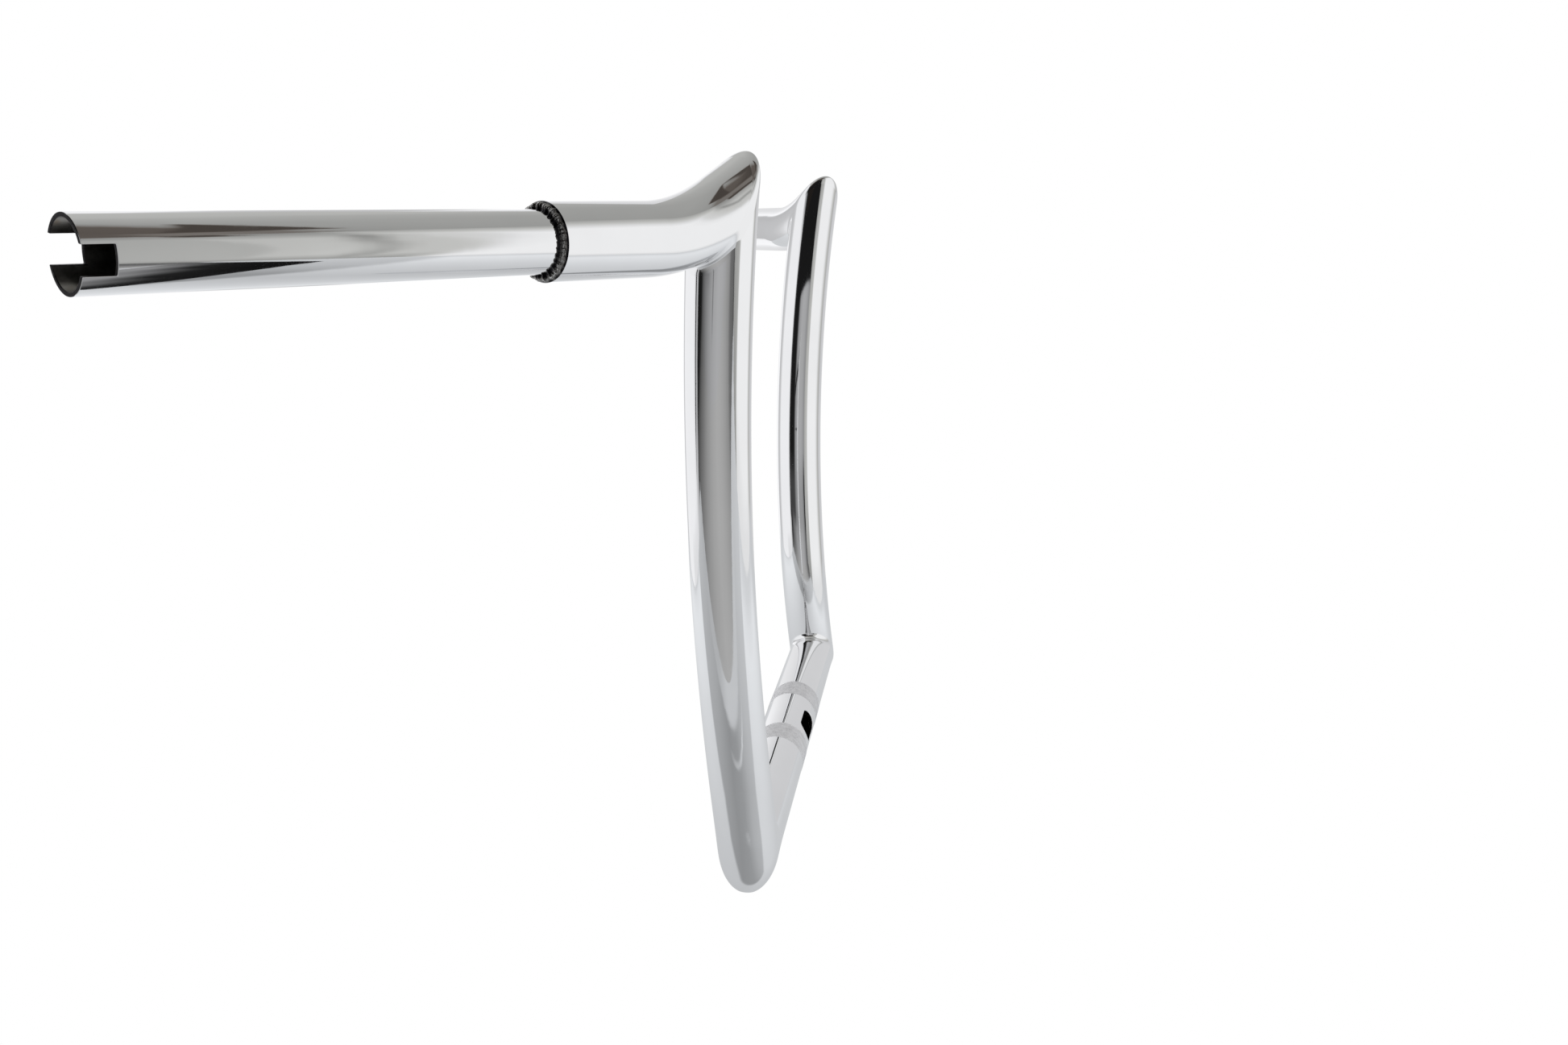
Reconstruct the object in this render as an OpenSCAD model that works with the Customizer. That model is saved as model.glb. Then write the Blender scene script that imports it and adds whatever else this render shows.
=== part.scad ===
// Touring motorcycle handlebar with pointed, mitred lower corners and peaks.
// A straight base tube, two bowed risers and two bent shoulders share one
// diameter. A thinner control end is sleeved into each shoulder and welded.
// +X is the rider's right, +Y is forward, +Z is up. The origin is on the
// axis of the base tube, midway between the two knurled clamp bands.

/* [Tube sizes] */
// Outside diameter of the base, riser and shoulder tubes
bar_d = 31.75; // [31.75:0.05:34]
// Wall thickness of the base, riser and shoulder tubes
bar_wall = 3.05; // [2.6:0.05:3.1]
// Outside diameter of the control ends
grip_d = 25.4; // [25:0.05:25.4]
// Wall thickness of the control ends
grip_wall = 1.6; // [1.4:0.1:3.2]

/* [Base tube] */
// Distance between the two lower corners, measured on the tube axes
base_span = 333; // [280:1:380]
// Centre of each knurled clamp band, measured from the middle of the bar
knurl_offset = 39; // [34:0.5:60]
// Length of each knurled band along the base tube
knurl_length = 24.5; // [18:0.5:32]
// Height of the knurl above the tube
knurl_height = 0.2; // [0.2:0.05:0.4]

/* [Wire exit slot] */
// Length of the slot along the base tube
slot_length = 32; // [20:0.5:38]
// Width of the slot
slot_width = 12.7; // [8:0.1:14]
// Distance of the slot's centre from the middle of the bar, to the right
slot_offset = 3; // [-3:0.5:3]
// How far above straight ahead the slot faces, in degrees
slot_angle = 22; // [-60:1:60]

/* [Risers] */
// Height of the peaks above the base tube, measured on the tube axes
rise = 321; // [250:1:420]
// Distance between the two peaks, measured on the tube axes
peak_span = 413; // [360:1:440]
// How far the middle of a riser bows away from a straight line
bow_depth = 14.5; // [8:0.5:30]
// Direction of the bow, in degrees from straight inboard towards the rider
bow_turn = 40; // [0:1:90]

/* [Shoulders] */
// Distance from a peak to the corner that the shoulder bend rounds off
leg_length = 25; // [24.5:0.5:30]
// How steeply the shoulder leaves the peak, in degrees below level
fall_angle = 30; // [24:1:30]
// Direction in which the shoulder leaves the peak, in degrees of sweep
fall_sweep = 42; // [36:1:42]
// Radius of the shoulder bend at the tube axis
bend_radius = 86; // [80:1:86]
// Length from the corner of the bend to the step down to the control end
shoulder_length = 77; // [70:1:100]

/* [Control ends] */
// Sweep of the control ends towards the rider, in degrees
grip_sweep = 35; // [30:1:40]
// Length of a control end that shows outside the shoulder
grip_length = 181; // [150:1:220]
// Length of a control end that is hidden inside the shoulder
grip_insert = 38; // [20:1:42]
// Width of the two throttle sensor notches in each end
notch_width = 9.5; // [6:0.1:11]
// Depth of the throttle sensor notches
notch_depth = 10.2; // [6:0.1:16]
// Tilt of the notches, in degrees: the outer one sits lower
notch_tilt = 8.5; // [-30:0.5:30]

/* [Welds] */
// Height of the ground flush welds above the tubes
weld_crown = 0.3; // [0.1:0.05:0.5]
// Width of a corner weld, measured from the mitre up into the riser
corner_weld = 2.4; // [1.6:0.1:3.2]
// Width of a peak weld, measured from the mitre down into the shoulder
peak_weld = 3; // [2:0.1:3.5]
// Radial size of the raw weld bead at the step
step_bead = 2.6; // [2:0.1:2.8]
// How deep the raw bead bites into the control end
step_root = 0.4; // [0.2:0.1:0.8]

/* [Hidden] */
$fn = 96;
// Length of tube left past a joint, for the mitre cut to trim
spare = 45;
// Size of a block that cuts a tube end
cut_size = 60;
// Overlap that keeps a cut from ending exactly on a face
clear = 1;
// Length by which a straight runs into its bend, and how much thicker it is there,
// which joins the two without a seam
lap = 0.5;
lap_step = 0.02;

bar_r = bar_d / 2;
bore_r = bar_r - bar_wall;
grip_r = grip_d / 2;
grip_bore_r = grip_r - grip_wall;
lap_r = bar_r + lap_step;
lap_bore_r = bore_r - lap_step;
// Length of control end that the raw bead covers
bead_foot = step_bead * 0.9;

// The right half is described here and the left half is its mirror image
inboard = [-1, 0, 0];
corner = [base_span / 2, 0, 0];
peak = [peak_span / 2, 0, rise];

// Riser: an arc through the corner and the peak
chord = peak - corner;
chord_dir = chord / norm(chord);
chord_side = [-chord_dir[2], 0, chord_dir[0]];
rearward = [0, -1, 0];
bow_dir = chord_side * cos(bow_turn) + rearward * sin(bow_turn);
riser_radius = (norm(chord) * norm(chord) / 4 + bow_depth * bow_depth) / (2 * bow_depth);
riser_half_angle = asin(norm(chord) / 2 / riser_radius);
riser_centre = (corner + peak) / 2 - bow_dir * (riser_radius - bow_depth);
riser_normal = cross(bow_dir, chord_dir);
// Tangents that point along the riser, away from each of its ends
riser_up = chord_dir * cos(riser_half_angle) + bow_dir * sin(riser_half_angle);
riser_down = bow_dir * sin(riser_half_angle) - chord_dir * cos(riser_half_angle);

// Shoulder: it leaves the peak along fall_dir and ends level, along grip_dir
fall_dir = [
  cos(fall_angle) * cos(fall_sweep),
  -cos(fall_angle) * sin(fall_sweep),
  -sin(fall_angle)
];
grip_dir = [cos(grip_sweep), -sin(grip_sweep), 0];
bend_corner = peak + fall_dir * leg_length;
bend_angle = acos(fall_dir * grip_dir);
bend_set_back = bend_radius * tan(bend_angle / 2);
bend_start = bend_corner - fall_dir * bend_set_back;
bend_end = bend_corner + grip_dir * bend_set_back;
bend_normal = unit(cross(fall_dir, grip_dir));
bend_outward = cross(fall_dir, bend_normal);
bend_centre = bend_start - bend_outward * bend_radius;
step_point = bend_corner + grip_dir * shoulder_length;
tip_point = step_point + grip_dir * grip_length;

// Mitre planes: each normal points to the riser's side of its joint
corner_cut = unit(riser_up - inboard);
peak_cut = unit(riser_down - fall_dir);

function unit(v) = v / norm(v);

function mirror_x(v) = [-v[0], v[1], v[2]];

// A direction at right angles to v
function square_to(v) = abs(v[2]) < 0.9 ? unit(cross(v, [0, 0, 1])) : unit(cross(v, [1, 0, 0]));

// Puts its children's origin at o, their X along x and their Z along z
module place(o, x, z) {
  y = cross(z, x);
  multmatrix([
    [x[0], y[0], z[0], o[0]],
    [x[1], y[1], z[1], o[1]],
    [x[2], y[2], z[2], o[2]]
  ])
    children();
}

// Removes everything beyond the plane through o, on the side n points to
module trim(o, n) {
  difference() {
    children();
    place(o, square_to(n), n)
      translate([-cut_size, -cut_size, 0])
        cube([2 * cut_size, 2 * cut_size, 2 * cut_size]);
  }
}

// Straight tube from o along d
module straight_tube(o, d, length, outer_r, inner_r) {
  place(o, square_to(d), d)
    difference() {
      cylinder(h = length, r = outer_r);
      translate([0, 0, -clear])
        cylinder(h = length + 2 * clear, r = inner_r);
    }
}

// Arc of tube about centre c, starting on the side x points to
module bent_tube(c, x, z, radius, angle, outer_r, inner_r) {
  place(c, x, z)
    rotate_extrude(angle = angle)
      translate([radius, 0])
        difference() {
          circle(r = outer_r);
          circle(r = inner_r);
        }
}

module mirrored() {
  mirror([1, 0, 0])
    children();
}

// Mitred base tube with its knurled bands and the wire exit slot
module base_tube() {
  color("silver")
    difference() {
      union() {
        base_tube_blank();
        for (side = [-1, 1]) {
          knurl_band(side * knurl_offset);
        }
      }
      wire_slot();
    }
}

module base_tube_blank() {
  trim(mirror_x(corner), mirror_x(corner_cut))
    trim(corner, corner_cut)
      straight_tube([-base_span / 2 - spare, 0, 0], [1, 0, 0], base_span + 2 * spare, bar_r, bore_r);
}

module knurl_band(x) {
  start = [x - knurl_length / 2, 0, 0];
  straight_tube(start, [1, 0, 0], knurl_length, bar_r + knurl_height, bar_r - bar_wall / 2);
}

module wire_slot() {
  end_offset = (slot_length - slot_width) / 2;
  translate([slot_offset, 0, 0])
    rotate([slot_angle - 90, 0, 0]) {
      for (side = [-1, 1]) {
        translate([side * end_offset, 0, 0])
          cylinder(h = bar_d, d = slot_width);
      }
      translate([-end_offset, -slot_width / 2, 0])
        cube([2 * end_offset, slot_width, bar_d]);
    }
}

// Bowed riser, from the lower weld up to the peak's mitre plane
module riser() {
  reach = riser_half_angle + spare / riser_radius * 180 / PI;
  start_side = bow_dir * cos(reach) - chord_dir * sin(reach);
  color("silver")
    trim(corner + corner_cut * corner_weld, -corner_cut)
      trim(peak, -peak_cut)
        bent_tube(riser_centre, start_side, riser_normal, riser_radius, 2 * reach, bar_r, bore_r);
}

module riser_right() {
  riser();
}

module riser_left() {
  mirrored()
    riser();
}

// Shoulder tube: short mitred leg, bend, then the straight that holds the control end
module shoulder() {
  color("silver")
    trim(peak - peak_cut * peak_weld, peak_cut)
      union() {
        bent_tube(bend_centre, bend_outward, bend_normal, bend_radius, bend_angle, bar_r, bore_r);
        straight_tube(bend_start - fall_dir * spare, fall_dir, spare + lap, lap_r, lap_bore_r);
        straight_tube(step_point, -grip_dir, shoulder_length - bend_set_back + lap, lap_r, lap_bore_r);
      }
}

module shoulder_right() {
  shoulder();
}

module shoulder_left() {
  mirrored()
    shoulder();
}

// Control end with two opposite throttle sensor notches in its tip
module grip() {
  start = step_point - grip_dir * grip_insert;
  color("gainsboro")
    difference() {
      straight_tube(start, grip_dir, grip_insert + grip_length, grip_r, grip_bore_r);
      place(tip_point, [0, 0, 1], grip_dir)
        rotate([0, 0, -notch_tilt])
          translate([-notch_width / 2, -grip_d, -notch_depth])
            cube([notch_width, 2 * grip_d, notch_depth + clear]);
      straight_tube(step_point, grip_dir, bead_foot, grip_r + clear, grip_r - step_root);
    }
}

module grip_right() {
  grip();
}

module grip_left() {
  mirrored()
    grip();
}

// Mitre weld: a slice of the tube that runs along d through o, from the plane
// through o to the one at the given depth on the side n points to
module mitre_weld(o, d, n, depth) {
  color("darkgray")
    trim(o + n * depth, n)
      trim(o, -n)
        straight_tube(o - d * spare, d, 2 * spare, bar_r + weld_crown, bore_r);
}

module weld_corner() {
  mitre_weld(corner, riser_up, corner_cut, corner_weld);
}

module weld_corner_right() {
  weld_corner();
}

module weld_corner_left() {
  mirrored()
    weld_corner();
}

module weld_peak() {
  mitre_weld(peak, fall_dir, -peak_cut, peak_weld);
}

module weld_peak_right() {
  weld_peak();
}

module weld_peak_left() {
  mirrored()
    weld_peak();
}

// Raw fillet weld between the end of the shoulder and the control end
module weld_step() {
  color("dimgray")
    place(step_point, [0, 0, 1], grip_dir)
      rotate_extrude()
        polygon([
          [grip_r - step_root, 0],
          [grip_r + step_bead, 0],
          [grip_r + step_bead * 0.95, bead_foot * 0.45],
          [grip_r + step_bead * 0.65, bead_foot * 0.8],
          [grip_r + step_bead * 0.25, bead_foot],
          [grip_r - step_root, bead_foot]
        ]);
}

module weld_step_right() {
  weld_step();
}

module weld_step_left() {
  mirrored()
    weld_step();
}

base_tube();
riser_left();
riser_right();
shoulder_left();
shoulder_right();
grip_left();
grip_right();
weld_corner_left();
weld_corner_right();
weld_peak_left();
weld_peak_right();
weld_step_left();
weld_step_right();
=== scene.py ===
"""Looks of a welded, chrome plated touring handlebar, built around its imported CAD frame.

Lengths are millimetres in the row frame, and become metres where a mesh or the camera is made.
+X is the rider's right, +Y is forward, +Z is up. The right half is built, and the left half is its
mirror image.
"""

import math

import bmesh
import bpy
import numpy as np
from mathutils import Matrix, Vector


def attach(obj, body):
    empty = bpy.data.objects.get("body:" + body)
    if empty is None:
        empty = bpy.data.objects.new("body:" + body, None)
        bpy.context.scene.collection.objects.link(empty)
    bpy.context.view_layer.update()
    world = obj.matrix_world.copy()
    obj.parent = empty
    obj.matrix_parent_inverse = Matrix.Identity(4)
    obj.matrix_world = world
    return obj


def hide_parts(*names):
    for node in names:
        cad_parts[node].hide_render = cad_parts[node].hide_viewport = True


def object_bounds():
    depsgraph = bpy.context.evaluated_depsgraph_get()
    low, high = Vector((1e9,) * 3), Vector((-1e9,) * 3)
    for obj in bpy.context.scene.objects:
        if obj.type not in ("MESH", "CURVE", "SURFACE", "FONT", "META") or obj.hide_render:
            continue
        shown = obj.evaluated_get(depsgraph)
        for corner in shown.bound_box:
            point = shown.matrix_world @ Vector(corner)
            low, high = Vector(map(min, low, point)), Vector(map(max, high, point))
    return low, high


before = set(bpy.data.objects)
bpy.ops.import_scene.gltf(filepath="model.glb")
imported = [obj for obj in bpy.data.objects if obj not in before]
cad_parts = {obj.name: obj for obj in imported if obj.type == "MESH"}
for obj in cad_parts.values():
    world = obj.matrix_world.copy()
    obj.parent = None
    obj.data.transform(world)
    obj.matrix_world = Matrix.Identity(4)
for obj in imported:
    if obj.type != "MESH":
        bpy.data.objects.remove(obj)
cad_low, cad_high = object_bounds()

MM = 0.001

# Tubes, as in the CAD source
BAR_R = 15.875
BORE_R = 12.825
GRIP_R = 12.7
GRIP_BORE_R = 11.1
CORNER = np.array([166.5, 0.0, 0.0])
PEAK = np.array([206.5, 0.0, 321.0])
BOW_DEPTH = 14.5
BOW_TURN = math.radians(40)
LEG_LENGTH = 25.0
FALL_ANGLE = math.radians(30)
FALL_SWEEP = math.radians(42)
BEND_RADIUS = 86.0
SHOULDER_LENGTH = 77.0
GRIP_SWEEP = math.radians(35)
GRIP_LENGTH = 181.0
GRIP_INSERT = 38.0
NOTCH_WIDTH = 9.5
NOTCH_DEPTH = 10.2
NOTCH_TILT = math.radians(8.5)
KNURL_OFFSET = 39.0
KNURL_LENGTH = 24.5
SLOT_LENGTH = 32.0
SLOT_WIDTH = 12.7
SLOT_OFFSET = 3.0
SLOT_ANGLE = math.radians(22)

# Rounded edges
SLOT_EDGE = 0.5  # of the slot, from outside
EDGE_ROUND = 0.3  # of the control ends' tips and notches

# Knurl
KNURL_SEAT = 0.35  # how deep the knurled sleeve sits in the tube
KNURL_TEETH = 90  # grooves of each family, round the tube
KNURL_LEAD = 1.7  # length along the tube in which a groove moves round by one tooth
KNURL_LOW, KNURL_TOOTH = -0.09, 0.25  # bottom of the grooves over the tube, and height of the teeth
TOOTH_SLOPE, TOOTH_FLAT = 1.25, 0.86  # steepness of the teeth, and where their tops are cut off
KNURL_FADE = 1.1  # length over which the knurl runs out at each end
SLEEVE_PROUD = 0.005  # keeps the sleeve's skin clear of the tube's
KNURL_GRID = (720, 120)  # points round and along a sleeve

# Welds. The pairs are for the crotch of a joint and for its outer tip.
CORNER_WELD = (4.0, 8.0)  # how far the weld reaches along each tube
CORNER_CROWN = (0.0, 0.0)  # how high it stands over the bare mitre
PEAK_WELD = (4.0, 6.0)
PEAK_CROWN = (0.0, 1.1)
POINT_REACH = (-14.0, 20.0)  # where the drawing out of a lower corner begins, and where its tip was
POINT_DRAW = 3.7  # how far the tip is drawn out
STEP_BEAD = 2.6
BEAD_ROOT = 0.3  # how deep the step bead bites into the control end
BEAD_RIPPLES = 62
BEAD_GRID = (720, 22)  # points round and across the bead

# Colour of the plating
PLATING = (0.868, 0.872, 0.882)

# Mesh fineness
COLUMNS = 192
RISER_ROWS = 150
SHOULDER_ROWS = 100
BORE_ROWS = 24
THETA = np.arange(COLUMNS) * 2 * math.pi / COLUMNS

# Material numbers of a piece's faces
SKIN, LINING, CUT_EDGE = 0, 1, 2

MIRROR = np.array([-1, 1, 1])


def unit(v):
    return np.asarray(v, float) / np.linalg.norm(v)


def turned(v, axis, angle):
    """v turned about a unit axis, by one angle or by an array of them."""
    a = np.asarray(angle, float)[..., None]
    return v * np.cos(a) + np.cross(axis, v) * np.sin(a) + axis * (v @ axis) * (1 - np.cos(a))


def reflected(v, normal):
    return v - 2 * (v @ normal) * normal


def smooth(low, high, x):
    """0 below low, 1 above high, with a smooth step between."""
    t = np.clip((np.asarray(x, float) - low) / (high - low), 0, 1)
    return t * t * (3 - 2 * t)


class Route:
    """A tube's centre line: straight and bent pieces in one plane, with a frame carried along it.

    pieces are (length, bend radius or None), and axis is the one that they bend about.
    """

    def __init__(self, start, tangent, side, pieces, axis=(0.0, 0.0, 0.0)):
        self.pieces, self.axis = pieces, np.array(axis)
        self.starts = []
        point, angle, length = np.asarray(start, float), 0.0, 0.0
        self.tangent0, self.side0 = unit(tangent), unit(side)
        for piece_length, radius in pieces:
            self.starts.append((length, point, angle))
            point = self.place(length + piece_length)[0]
            angle += piece_length / radius if radius else 0.0
            length += piece_length
        self.length = length

    def place(self, s):
        """Centre, tangent, side and up directions at distance s."""
        s = np.asarray(s, float)
        centre, angle = np.zeros(s.shape + (3,)), np.zeros(s.shape)
        for (s0, p0, a0), (_, radius) in zip(self.starts, self.pieces):
            here = s >= s0 if s0 else np.ones(s.shape, bool)
            ds = np.where(here, s - s0, 0.0)
            t0 = turned(self.tangent0, self.axis, a0)
            if radius:
                out = np.cross(t0, self.axis)
                a = ds / radius
                moved = p0 + radius * (turned(out, self.axis, a) - out)
            else:
                a = np.zeros(s.shape)
                moved = p0 + ds[..., None] * t0
            centre = np.where(here[..., None], moved, centre)
            angle = np.where(here, a0 + a, angle)
        tangent = turned(self.tangent0, self.axis, angle)
        side = turned(self.side0, self.axis, angle)
        return centre, tangent, side, np.cross(tangent, side)

    def surface(self, s, theta, radius):
        """Point and outward normal at distance s and angle theta, which may be one row for many rows of s."""
        centre, _, side, up = self.place(s)
        normal = np.cos(theta)[..., None] * side + np.sin(theta)[..., None] * up
        return centre + np.asarray(radius)[..., None] * normal, normal

    def cut(self, theta, radius, point, normal, guess):
        """Distance s at which each line of the tube's surface meets a plane."""
        s = np.full(theta.shape, float(guess))
        nudge = 0.01
        for _ in range(20):
            here = (self.surface(s, theta, radius)[0] - point) @ normal
            ahead = (self.surface(s + nudge, theta, radius)[0] - point) @ normal
            s = s - here / ((ahead - here) / nudge)
        return s


# -------- geometry of the right half

chord = PEAK - CORNER
chord_length = np.linalg.norm(chord)
chord_dir = chord / chord_length
chord_side = np.array([-chord_dir[2], 0, chord_dir[0]])
bow_dir = chord_side * math.cos(BOW_TURN) + np.array([0, -1.0, 0]) * math.sin(BOW_TURN)
riser_radius = (chord_length**2 / 4 + BOW_DEPTH**2) / (2 * BOW_DEPTH)
riser_half = math.asin(chord_length / 2 / riser_radius)
riser_up = chord_dir * math.cos(riser_half) + bow_dir * math.sin(riser_half)
riser_down = bow_dir * math.sin(riser_half) - chord_dir * math.cos(riser_half)
riser_axis = np.cross(bow_dir, chord_dir)
riser_length = 2 * riser_half * riser_radius

inboard = np.array([-1.0, 0, 0])
fall_dir = np.array(
    [
        math.cos(FALL_ANGLE) * math.cos(FALL_SWEEP),
        -math.cos(FALL_ANGLE) * math.sin(FALL_SWEEP),
        -math.sin(FALL_ANGLE),
    ]
)
grip_dir = np.array([math.cos(GRIP_SWEEP), -math.sin(GRIP_SWEEP), 0])
bend_angle = math.acos(fall_dir @ grip_dir)
bend_set_back = BEND_RADIUS * math.tan(bend_angle / 2)
bend_corner = PEAK + fall_dir * LEG_LENGTH
step_point = bend_corner + grip_dir * SHOULDER_LENGTH
corner_cut = unit(riser_up - inboard)
peak_cut = unit(riser_down - fall_dir)
corner_outside = -unit(riser_up + inboard)
peak_outside = -unit(riser_down + fall_dir)

slot_dir = np.array([0, math.cos(SLOT_ANGLE), math.sin(SLOT_ANGLE)])

base_route = Route(CORNER, inboard, slot_dir, [(2 * CORNER[0], None)])
riser_route = Route(
    CORNER,
    riser_up,
    reflected(slot_dir, corner_cut),
    [(riser_length, riser_radius)],
    axis=riser_axis,
)
_, _, riser_top_side, _ = riser_route.place(np.array(riser_length))
shoulder_route = Route(
    PEAK,
    fall_dir,
    reflected(riser_top_side, peak_cut),
    [
        (LEG_LENGTH - bend_set_back, None),
        (BEND_RADIUS * bend_angle, BEND_RADIUS),
        (SHOULDER_LENGTH - bend_set_back, None),
    ],
    axis=unit(np.cross(fall_dir, grip_dir)),
)
level_side = np.array([-grip_dir[1], grip_dir[0], 0])
notch_side = level_side * math.cos(NOTCH_TILT) - np.array([0, 0, 1.0]) * math.sin(NOTCH_TILT)
grip_start = step_point - grip_dir * GRIP_INSERT
grip_full = GRIP_INSERT + GRIP_LENGTH
grip_end = grip_start + grip_dir * grip_full
grip_across = np.cross(grip_dir, notch_side)
grip_route = Route(grip_start, grip_dir, notch_side, [(grip_full, None)])

# -------- mesh building


def corner_draw(points):
    """How far a lower corner is drawn out at each point, and how fast that grows outwards."""
    past = (points - CORNER) @ corner_outside - POINT_REACH[0]
    ease = (POINT_REACH[1] - POINT_REACH[0]) / 2
    rate = POINT_DRAW / (POINT_REACH[1] - POINT_REACH[0] - ease / 2)
    moved = rate * np.where(past < ease, np.maximum(past, 0) ** 2 / (2 * ease), past - ease / 2)
    return moved, rate * np.clip(past / ease, 0, 1)


def pointed(points, places, normals):
    """Points with the lower corner drawn out, and the drawn surface's normals at the given places."""
    moved, _ = corner_draw(points)
    _, slope = corner_draw(places)
    lean = (normals @ corner_outside) * slope / (1 + slope)
    normals = normals - lean[:, None] * corner_outside
    normals = normals / np.linalg.norm(normals, axis=1, keepdims=True)
    return points + moved[:, None] * corner_outside, normals


def grid_normals(points):
    """Normals of a grid of points whose rows close into rings."""
    around = np.roll(points, -1, axis=1) - np.roll(points, 1, axis=1)
    normals = np.cross(around, np.gradient(points, axis=0))
    return normals / np.maximum(np.linalg.norm(normals, axis=2, keepdims=True), 1e-9)


class Builder:
    """Collects grids of quads, with a normal for each face corner."""

    def __init__(self):
        self.points, self.faces, self.normals, self.numbers = [], [], [], []
        self.count = 0

    def grid(self, points):
        """Adds a grid of points, rows by columns, and gives their numbers."""
        rows, cols = points.shape[:2]
        index = np.arange(rows * cols).reshape(rows, cols) + self.count
        self.points.append(points.reshape(-1, 3))
        self.count += rows * cols
        return index

    def quads(self, index, normals, flip=False, keep=None, lining=False):
        """Quads between neighbouring rows of a grid of point numbers, whose rows close into rings."""

        def corners(a):
            ahead = np.roll(a, -1, axis=1)
            return np.stack([a[:-1], ahead[:-1], ahead[1:], a[1:]], axis=2)

        faces, face_normals = corners(index), corners(normals)
        if keep is not None:
            faces, face_normals = faces[keep], face_normals[keep]
        faces, face_normals = faces.reshape(-1, 4), face_normals.reshape(-1, 4, 3)
        if flip:
            faces, face_normals = faces[:, ::-1], face_normals[:, ::-1]
        self.faces.append(faces)
        self.normals.append(face_normals)
        self.numbers.append(np.full(len(faces), LINING if lining else SKIN))

    def surface(self, points, normals, flip=False, keep=None):
        """A grid of points with its quads. A flipped one faces inwards and is part of the lining."""
        index = self.grid(points)
        self.quads(index, normals * (-1 if flip else 1), flip, keep, lining=flip)
        return index

    def join(self, first, second, points, flip=False):
        """A flat strip between two rings of point numbers, with the two rings' points."""
        around = np.roll(points[0], -1, axis=0) - points[0]
        flat = np.cross(around, points[1] - points[0]) * (-1 if flip else 1)
        flat /= np.maximum(np.linalg.norm(flat, axis=1, keepdims=True), 1e-9)
        self.quads(np.stack([first, second]), np.stack([flat, flat]), flip)

    def rims(self, outer, inner):
        """Flat strips that close both ends between two skins, each given as (point numbers, points)."""
        for row, flip in ((0, True), (-1, False)):
            self.join(outer[0][row], inner[0][row], (outer[1][row], inner[1][row]), flip)

    def mesh(self, name, mirror=False, painted_light_and_streaks=None, both_ends=False):
        """The object, with its near lower corner drawn out, or both of them.

        The value given for each of the first points is for the material; on the step bead it holds painted
        shade at the feet, a painted sheen along the crown, and grey streaks.
        """
        points = np.vstack(self.points)
        faces, normals = np.vstack(self.faces), np.vstack(self.normals).reshape(-1, 3)
        for across in (np.ones(3), MIRROR)[: 2 if both_ends else 1]:
            points, normals = pointed(points * across, points[faces.ravel()] * across, normals * across)
            points, normals = points * across, normals * across
        normals = normals.reshape(-1, 4, 3)
        if mirror:
            points, normals = points * MIRROR, normals * MIRROR
            faces, normals = faces[:, ::-1], normals[:, ::-1]
        used = np.unique(faces)
        renumber = np.zeros(len(points), int)
        renumber[used] = np.arange(len(used))
        numbers = np.concatenate(self.numbers)
        made = make_mesh(name, points[used], renumber[faces].tolist(), normals.reshape(-1, 3), numbers)
        if painted_light_and_streaks is not None:
            values = np.zeros(len(points))
            values[: len(painted_light_and_streaks)] = painted_light_and_streaks
            shade = made.data.attributes.new("painted_light_and_streaks", "FLOAT", "POINT")
            shade.data.foreach_set("value", values[used].astype(np.float32))
        return made


def make_mesh(name, points, faces, normals, numbers):
    """A new object from points in millimetres.

    It has a normal for each face corner and a material number for each face.
    """
    data = bpy.data.meshes.new(name)
    data.from_pydata((points * MM).tolist(), [], faces)
    data.shade_smooth()
    data.normals_split_custom_set(normals.tolist())
    data.polygons.foreach_set("material_index", np.asarray(numbers, np.int32))
    obj = bpy.data.objects.new(name, data)
    bpy.context.scene.collection.objects.link(obj)
    return obj


def spread(first, last, rows):
    """Rows of distances from first to last, both of which may differ for each column."""
    t = np.linspace(0, 1, rows)[:, None]
    return first * (1 - t) + last * t


def tube(name, route, start, end, rows, mirror=False):
    """A tube whose ends follow start and end, which give a distance for each angle and radius."""
    build = Builder()
    skins = []
    for radius, count, inside in ((BAR_R, rows, False), (BORE_R, BORE_ROWS, True)):
        s = spread(start(THETA, radius), end(THETA, radius), count)
        points, normals = route.surface(s, THETA, radius)
        skins.append((build.surface(points, normals, flip=inside), points))
    build.rims(*skins)
    return build.mesh(name, mirror)


# -------- mitred joints

WELD_ROWS = 28
WELD_FULLNESS = 0.62  # how far a weld's skin is pulled towards the bare mitre, in the crotch of the joint
WELD_FILLING = 0.30  # how much further it is pulled at the outer tip


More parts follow.
